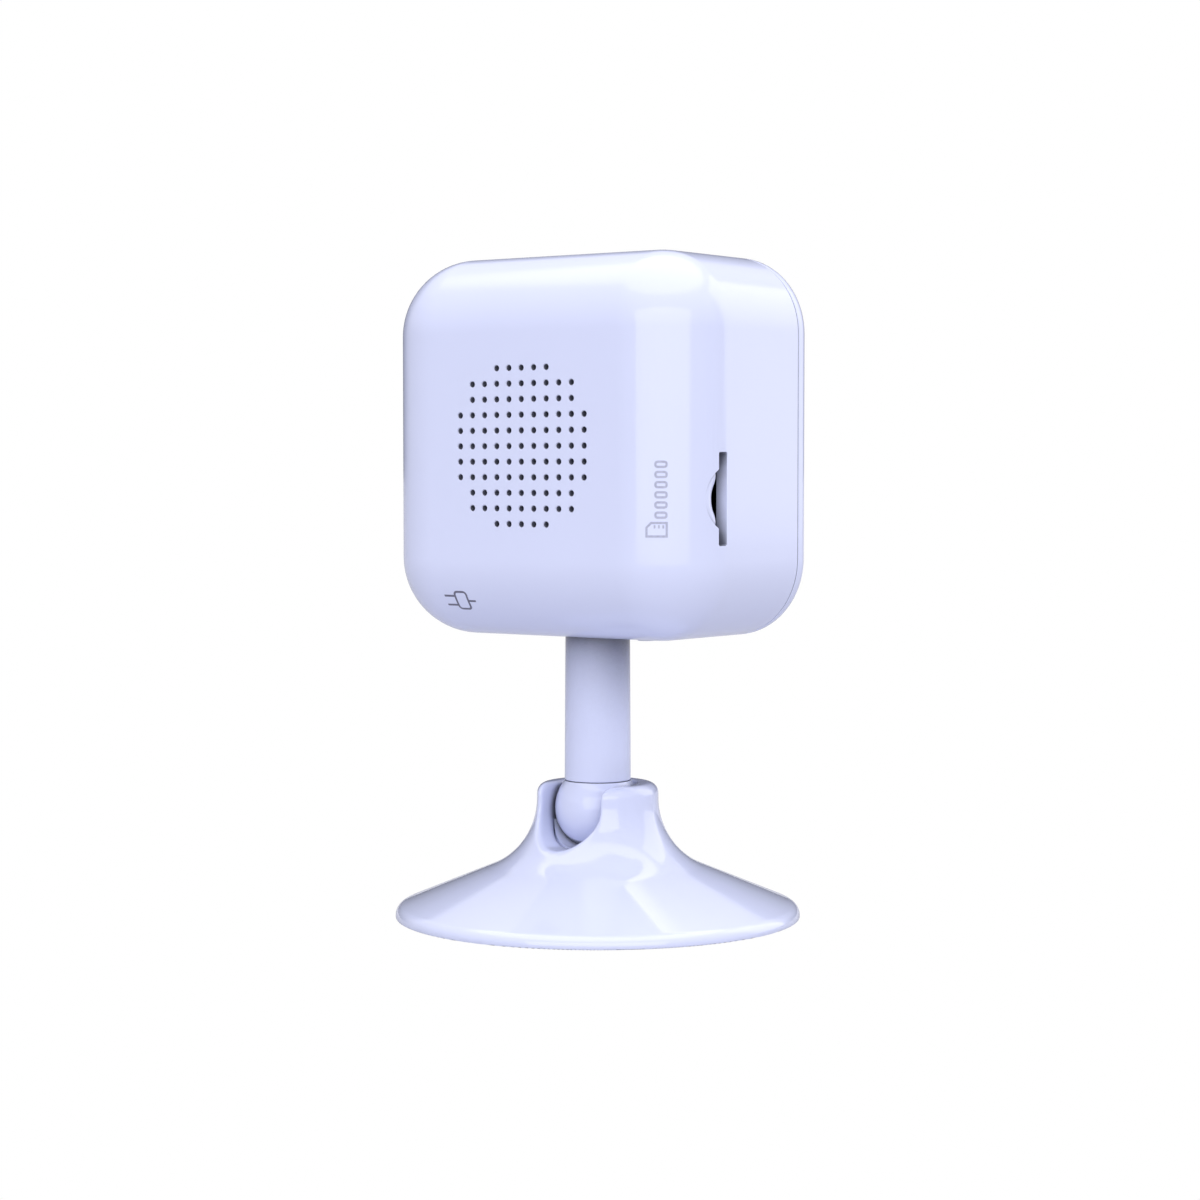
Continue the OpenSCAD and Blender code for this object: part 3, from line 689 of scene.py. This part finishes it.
def make_lens():
    """The ring, with fine steps down its funnel, and the domed front lens."""
    outer, bore = LENS_RING_R, LENS_R + 0.1
    profile = [(outer - 0.3, 0.0)]
    profile += arc(outer - 0.3, 0.3, 0.3, -90, 0, 5)
    back, funnel, steps = 3.2, 1.7, 5
    profile += [(outer, back), (bore, back), (bore, funnel)]
    for i in range(steps):
        r = bore + (outer - 0.9 - bore) * i / (steps - 1)
        profile += [(r, funnel - 1.5 * k / steps) for k in (i, i + 0.9)]
    profile += [(outer - 0.75, 0.06)]
    ring = about_lens("lens_surround", profile)
    piece(ring, "head", "lens_metal", SLOT_MATERIALS["lens_metal"], "lens_ring")
    dome_r, apex = 11.0, 0.9
    lean = math.degrees(math.asin(LENS_R / dome_r))
    profile = arc(0, apex + dome_r, dome_r, -90, lean - 90, 24)
    profile += [(LENS_R, 3.4), (0, 3.4)]
    lens = about_lens("lens_dome", profile, 96)
    piece(lens, "head", "optical_glass", SLOT_MATERIALS["optical_glass"], "lens_front")


def make_reset_button():
    low, high = BUTTON_LOW.z, BUTTON_HIGH.z
    r, flange = BUTTON_R, BUTTON_R + 0.7
    foot = REAR_LOW.z + WALL + 0.3
    profile = [(0, low + 0.05)] + arc(r - 0.25, low + 0.25, 0.25, -90, 0, 6)
    profile += [(r, foot), (flange, foot), (flange, foot + 0.6), (r, foot + 0.6)]
    profile += [(r, high), (0, high)]
    button = lathe("reset_key", profile, 64, None, (-PORT_X, PORT_Y, 0))
    smooth(button)
    return piece(button, "reset", "grey_plastic", SLOT_MATERIALS["grey_plastic"], "reset_button")


make_rear_shell()
make_front_bezel()
make_window()
make_lens()
make_reset_button()

# ---------------------------------------------------------------- stem and ball


def make_stem():
    edge = 0.25
    profile = [(SPIGOT_R + 0.05, STEM_FOOT), (STEM_R_LOW - edge, STEM_FOOT)]
    profile += arc(STEM_R_LOW - edge, STEM_FOOT + edge, edge, -90, 0, 6)
    steps = 12
    for i in range(1, steps):
        along = i / steps
        profile.append((
            STEM_R_LOW + (STEM_R_HIGH - STEM_R_LOW) * along,
            STEM_FOOT + edge + (STEM_TOP - STEM_FOOT - edge) * along,
        ))
    profile += [(STEM_R_HIGH, STEM_TOP), (THREAD_R, STEM_TOP), (THREAD_R, STEM_HIGH.z)]
    profile += [(STEM_BORE_R, STEM_HIGH.z), (STEM_BORE_R, SPIGOT_TOP - 0.1)]
    profile += [(SPIGOT_R + 0.05, SPIGOT_TOP - 0.1)]
    stem = lathe("stem_tube", profile, 128)
    smooth(stem)
    return piece(stem, "head", "white_stem", STEM_WHITE_WITH_PAINTED_SHADOW, "stem")


def make_ball():
    top = STEM_FOOT - 0.06
    lean = math.degrees(math.asin((top - BALL_Z) / BALL_R))
    profile = arc(0, BALL_Z, BALL_R, -90, lean, 64)
    profile += [(SPIGOT_R, top), (SPIGOT_R, SPIGOT_TOP), (1.05, SPIGOT_TOP), (1.05, 24), (0, 24)]
    ball = lathe("ball_joint", profile, 128)
    smooth(ball)
    return piece(ball, "ball", "white_stem", BALL_WHITE, "ball")


make_stem()
make_ball()

# ---------------------------------------------------------------- base


def base_profile():
    """The shell's section as (radius, height), from the foot up outside and back down inside."""
    slope = FLANK_SLOPE
    tip = (BASE_R - EDGE_R + EDGE_R * math.sin(slope), EDGE_Z + EDGE_R * math.cos(slope))
    sweep_x = NECK_R + SWEEP_R
    sweep_z = tip[1] + math.tan(slope) * (tip[0] - sweep_x) + SWEEP_R / math.cos(slope)
    degrees = math.degrees(slope)
    inner_slope = tip[1] - BASE_WALL / math.cos(slope)

    def under_flank(r):
        return inner_slope + math.tan(slope) * (tip[0] - r)

    points = [(PLATE_R, BASE_FOOT)] + arc(BASE_R - FOOT_R, BASE_FOOT + FOOT_R, FOOT_R, -90, 0, 4)
    points += arc(BASE_R - EDGE_R, EDGE_Z, EDGE_R, 0, 90 - degrees, 14)
    points += arc(sweep_x, sweep_z, SWEEP_R, 270 - degrees, 180, 22)
    points += arc(NECK_R - RIM_R, NECK_TOP - RIM_R, RIM_R, 0, 90, 8)
    lip = arc(MOUTH_R + LIP_R, NECK_TOP - LIP_R, LIP_R, 90, 180, 24)
    lip = [p for p in lip if math.hypot(p[0], p[1] - BALL_Z) > SOCKET_R]
    seat = math.degrees(math.atan2(lip[-1][1] - BALL_Z, lip[-1][0]))
    points += lip + arc(0, BALL_Z, SOCKET_R, seat, 0, 8)
    points += [(SOCKET_R, BLOCK_Z), (BLOCK_R, BLOCK_Z), (BLOCK_R, under_flank(BLOCK_R + 2.6))]
    points += [(BLOCK_R + 2.6, under_flank(BLOCK_R + 2.6))]
    plate_edge = tip[0] - (PLATE_ROOM - inner_slope) / math.tan(slope)
    points += [(plate_edge, PLATE_ROOM), (PLATE_R, PLATE_ROOM)]
    return points


def outline_distance(outline, x, y):
    """Signed distance of points to a closed outline, negative inside."""
    best = np.full(len(x), 1e9)
    inside = np.zeros(len(x), bool)
    for (ax, ay), (bx, by) in zip(outline, outline[1:] + outline[:1]):
        ex, ey = bx - ax, by - ay
        t = ((x - ax) * ex + (y - ay) * ey) / max(ex * ex + ey * ey, 1e-12)
        t = np.clip(t, 0, 1)
        best = np.minimum(best, (x - ax - t * ex) ** 2 + (y - ay - t * ey) ** 2)
        crosses = (ay > y) != (by > y)
        with np.errstate(divide="ignore", invalid="ignore"):
            at = ax + (y - ay) * ex / ey if ey else np.full(len(x), -1e9)
        inside ^= crosses & (x < at)
    return np.where(inside, -1, 1) * np.sqrt(best)


def base_distance(p, outline):
    """Signed distance to the base shell, with the notch's edges eased."""
    shell = outline_distance(outline, np.hypot(p[:, 0], p[:, 1]), p[:, 2])
    below = np.minimum(p[:, 2] - BALL_Z, 0)
    notch = np.maximum(np.hypot(p[:, 0], below) - NOTCH_R, -p[:, 1])
    ease = np.clip(1 - np.abs(shell + notch) / NOTCH_SOFTNESS, 0, 1)
    return np.maximum(shell, -notch) + ease**2 * NOTCH_SOFTNESS / 4


def settle(obj, distance, steps=4):
    """Moves each vertex onto the surface where distance is zero."""
    mesh = obj.data
    flat = np.empty(len(mesh.vertices) * 3)
    mesh.vertices.foreach_get("co", flat)
    p = flat.reshape(-1, 3) / MM
    h = 0.01
    for _ in range(steps):
        f = distance(p)
        slope = np.stack([(distance(p + h * axis) - f) / h for axis in np.eye(3)], axis=1)
        size = np.maximum((slope**2).sum(axis=1, keepdims=True), 0.25)
        p = p - np.clip(f[:, None] * slope / size, -0.25, 0.25)
    mesh.vertices.foreach_set("co", (p * MM).ravel())
    mesh.update()


def make_base():
    outline = base_profile()
    shell = lathe("base_cover", outline, 192)
    above = NECK_TOP + 5
    notch = [(-NOTCH_R, above)] + arc(0, BALL_Z, NOTCH_R, 180, 360, 30) + [(NOTCH_R, above)]
    cut(shell, loft("notch", [[(x, y, z) for x, z in notch] for y in (0, 2 * BASE_R)]))
    voxels = shell.modifiers.new("voxels", "REMESH")
    voxels.mode = "VOXEL"
    voxels.voxel_size = BASE_VOXEL * MM
    evaluated(shell)
    settle(shell, lambda p: base_distance(p, outline))
    smooth(shell, 40)
    return piece(shell, "base", "white_base", BASE_WHITE, "base_shell")


make_base()

# ---------------------------------------------------------------- printed marks

INLET_MARK_X = 13.4
INLET_MARK_ANGLE = math.radians(32.5)
CARD_MARK_ANGLE = math.radians(30.65)


def ribbon(points, width, closed=False, step=0.25):
    """A line of a width through 2D points, as quads of left and right points."""
    line = [Vector(p) for p in points]
    ends = line[1:] + line[:1] if closed else line[1:]
    dense = []
    for a, b in zip(line, ends):
        n = max(1, round((b - a).length / step))
        dense += [a + (b - a) * i / n for i in range(n)]
    if not closed:
        dense.append(line[-1])
    sides = []
    n = len(dense)
    for i, p in enumerate(dense):
        before = dense[i - 1] if closed or i else p
        after = dense[(i + 1) % n] if closed or i < n - 1 else p
        into, out = (p - before), (after - p)
        into = into.normalized() if into.length else out.normalized()
        out = out.normalized() if out.length else into
        across = Vector((-(into.y + out.y), into.x + out.x)).normalized()
        reach = width / 2 / max(across.dot(Vector((-into.y, into.x))), 0.5)
        sides.append((p + across * reach, p - across * reach))
    return sides, closed


def printed_mark(name, strokes, place, ink, thickness=0.012):
    """Ink lines laid on a surface: place turns (u, v, height) into a point."""
    points, faces = [], []
    for sides, closed in strokes:
        start, n = len(points), len(sides)
        for left, right in sides:
            for u, v in (left, right):
                points += [place(u, v, thickness), place(u, v, -thickness)]
        for i in range(n if closed else n - 1):
            a, b = start + 4 * i, start + 4 * ((i + 1) % n)
            faces += [[a, a + 2, b + 2, b], [a + 1, b + 1, b + 3, a + 3]]
            faces += [[a, b, b + 1, a + 1], [a + 2, a + 3, b + 3, b + 2]]
        if not closed:
            a, b = start, start + 4 * (n - 1)
            faces += [[a, a + 1, a + 3, a + 2], [b, b + 2, b + 3, b + 1]]
    mark = mesh_object(name, points, faces)
    mark.data.materials.append(ink)
    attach(mark, "head")
    return mark


def on_low_back_edge(u, v, height):
    """A point on the lower back fillet: u to the viewer's right, v up along it from its middle."""
    angle = INLET_MARK_ANGLE - v / CORNER_R
    r = CORNER_R + height
    y = BACK - CORNER_R + r * math.cos(angle)
    z = REAR_LOW.z + CORNER_R - r * math.sin(angle)
    return (INLET_MARK_X - u, y, z)


def on_side_back_edge(u, v, height):
    """A point on the upright back fillet of the card side: u round it towards the slot, v up."""
    angle = CARD_MARK_ANGLE + u / CORNER_R
    r = CORNER_R + height
    x = REAR_LOW.x + CORNER_R - r * math.sin(angle)
    y = BACK - CORNER_R + r * math.cos(angle)
    return (x, y, CARD_SLOT_Z + v)


def make_marks():
    """A plug outline by the power inlet, and a card outline with a row of pads by the slot."""
    line = 0.34
    inlet = [ribbon([(x + 0.35, y) for x, y in rounded_outline(2.3, 3.2, 0.55, 4)], line, True)]
    inlet += [ribbon([(-0.8, y), (-2.9, y)], line) for y in (-0.85, 0.85)]
    inlet.append(ribbon([(1.5, 0), (3.0, 0)], line))
    printed_mark("inlet_mark", inlet, on_low_back_edge, DARK_INK)
    line = 0.3
    card = [(-1.5, -5.5), (1.5, -5.5), (1.5, -3.5), (-0.8, -3.5), (-1.5, -4.2)]
    slot = [ribbon(card, line, True)]
    slot += [ribbon([(x, -4.3), (x, -3.85)], 0.24) for x in (-0.3, 0.35, 1.0)]
    pads, pitch = 6, 1.5
    for i in range(pads):
        pad = rounded_outline(1.65, 0.75, 0.3, 4)
        slot.append(ribbon([(0.65 + x, -2.35 + pitch * i + y) for x, y in pad], line, True))
    printed_mark("card_mark", slot, on_side_back_edge, PALE_INK)


make_marks()

# ---------------------------------------------------------------- stage, light and camera

AZIMUTH = math.radians(36.24)
PITCH = math.radians(2.74)
DISTANCE = 0.4284
CAMERA_HEIGHT = 0.07084
SIDE_SHIFT = -0.00036
FOCAL_MM = 81.2
FLOOR_GREY = (0.47, 0.47, 0.5, 1)
SKY_STRENGTH = 1.95
ALL_ROUND = ((0.15, 0.26), (0.18, 0.33), (0.74, 0.34), (0.79, 1.0))
PAST_OBJECT = ((0.45, 0.04), (0.5, 0.33), (0.74, 0.34), (0.79, 1.0))
PAST_FROM, PAST_FULL = 0.62, 0.78


def make_camera():
    right = Vector((-math.cos(AZIMUTH), -math.sin(AZIMUTH), 0))
    ahead = Vector((math.sin(AZIMUTH), -math.cos(AZIMUTH), 0))
    look = ahead * math.cos(PITCH) + Vector((0, 0, -math.sin(PITCH)))
    up = right.cross(look)
    data = bpy.data.cameras.new("camera")
    data.sensor_width = 36
    data.lens = FOCAL_MM
    camera = bpy.data.objects.new("camera", data)
    bpy.context.scene.collection.objects.link(camera)
    turn = Matrix((right, up, -look)).transposed()
    place = -right * SIDE_SHIFT - ahead * DISTANCE + Vector((0, 0, CAMERA_HEIGHT))
    camera.matrix_world = Matrix.Translation(place) @ turn.to_4x4()
    bpy.context.scene.camera = camera


def make_floor():
    """A plain pale floor, far wider than the view."""
    bpy.ops.mesh.primitive_plane_add(size=40)
    floor = bpy.context.object
    floor.name = "floor"
    material = bpy.data.materials.new("floor_white")
    material.use_nodes = True
    nodes, links = material.node_tree.nodes, material.node_tree.links
    shader = nodes["Principled BSDF"]
    shader.inputs["Base Color"].default_value = FLOOR_GREY
    shader.inputs["Roughness"].default_value = 0.9
    shader.inputs["Specular IOR Level"].default_value = 0.0
    seen = nodes.new("ShaderNodeLightPath")
    glow = nodes.new("ShaderNodeEmission")
    glow.inputs["Strength"].default_value = 1.0
    both = nodes.new("ShaderNodeMixShader")
    links.new(seen.outputs["Is Camera Ray"], both.inputs["Fac"])
    links.new(shader.outputs["BSDF"], both.inputs[1])
    links.new(glow.outputs["Emission"], both.inputs[2])
    links.new(both.outputs["Shader"], nodes["Material Output"].inputs["Surface"])
    floor.data.materials.append(material)


def height_ramp(nodes, links, height, stops):
    """Grey levels by height, each a pair of height and level."""
    ramp = nodes.new("ShaderNodeValToRGB")
    while len(ramp.color_ramp.elements) < len(stops):
        ramp.color_ramp.elements.new(0.5)
    for element, (at, level) in zip(ramp.color_ramp.elements, stops):
        element.position = at
        element.color = (level, level, level * 1.02, 1)
    links.new(height, ramp.inputs["Fac"])
    return ramp.outputs["Color"]


def make_world():
    """A studio: a bright ceiling over grey walls, with a dark wall past the object."""
    world = bpy.data.worlds.new("studio")
    bpy.context.scene.world = world
    world.use_nodes = True
    nodes, links = world.node_tree.nodes, world.node_tree.links
    direction = nodes.new("ShaderNodeTexCoord").outputs["Generated"]
    split = nodes.new("ShaderNodeSeparateXYZ")
    links.new(direction, split.inputs["Vector"])
    height = split.outputs["Z"]
    walls = height_ramp(nodes, links, height, ALL_ROUND)
    past = height_ramp(nodes, links, height, PAST_OBJECT)
    toward = nodes.new("ShaderNodeVectorMath")
    toward.operation = "DOT_PRODUCT"
    links.new(direction, toward.inputs[0])
    toward.inputs[1].default_value = (math.sin(AZIMUTH), -math.cos(AZIMUTH), 0)
    mask = nodes.new("ShaderNodeMapRange")
    mask.inputs["From Min"].default_value = PAST_FROM
    mask.inputs["From Max"].default_value = PAST_FULL
    links.new(toward.outputs["Value"], mask.inputs["Value"])
    blend = nodes.new("ShaderNodeMixRGB")
    links.new(mask.outputs["Result"], blend.inputs["Fac"])
    links.new(walls, blend.inputs[1])
    links.new(past, blend.inputs[2])
    light = nodes["Background"]
    light.inputs["Strength"].default_value = SKY_STRENGTH
    links.new(blend.outputs["Color"], light.inputs["Color"])
    backdrop = nodes.new("ShaderNodeBackground")
    backdrop.inputs["Strength"].default_value = 1.0
    backdrop.inputs["Color"].default_value = (1, 1, 1, 1)
    seen = nodes.new("ShaderNodeLightPath")
    both = nodes.new("ShaderNodeMixShader")
    links.new(seen.outputs["Is Camera Ray"], both.inputs["Fac"])
    links.new(light.outputs["Background"], both.inputs[1])
    links.new(backdrop.outputs["Background"], both.inputs[2])
    links.new(both.outputs["Shader"], nodes["World Output"].inputs["Surface"])


def softbox(name, turn, rise, width, height, power):
    """A soft lamp a metre from the head and facing it: turn is in degrees from +Y towards -X."""
    data = bpy.data.lights.new(name, "AREA")
    data.shape = "RECTANGLE"
    data.size, data.size_y = width, height
    data.energy = power
    lamp = bpy.data.objects.new(name, data)
    bpy.context.scene.collection.objects.link(lamp)
    turn, rise = math.radians(turn), math.radians(rise)
    flat = math.cos(rise)
    way = Vector((-math.sin(turn) * flat, math.cos(turn) * flat, math.sin(rise)))
    lamp.location = Vector((0, 0, HEAD_MID * MM)) + way
    lamp.rotation_euler = (-way).to_track_quat("-Z", "Y").to_euler()


make_camera()
make_floor()
make_world()
softbox("back_light", turn=35.5, rise=14.0, width=1.6, height=0.62, power=4.9)
softbox("side_light", turn=149.0, rise=21.0, width=0.62, height=0.86, power=1.9)
bpy.context.scene.view_settings.view_transform = "Standard"
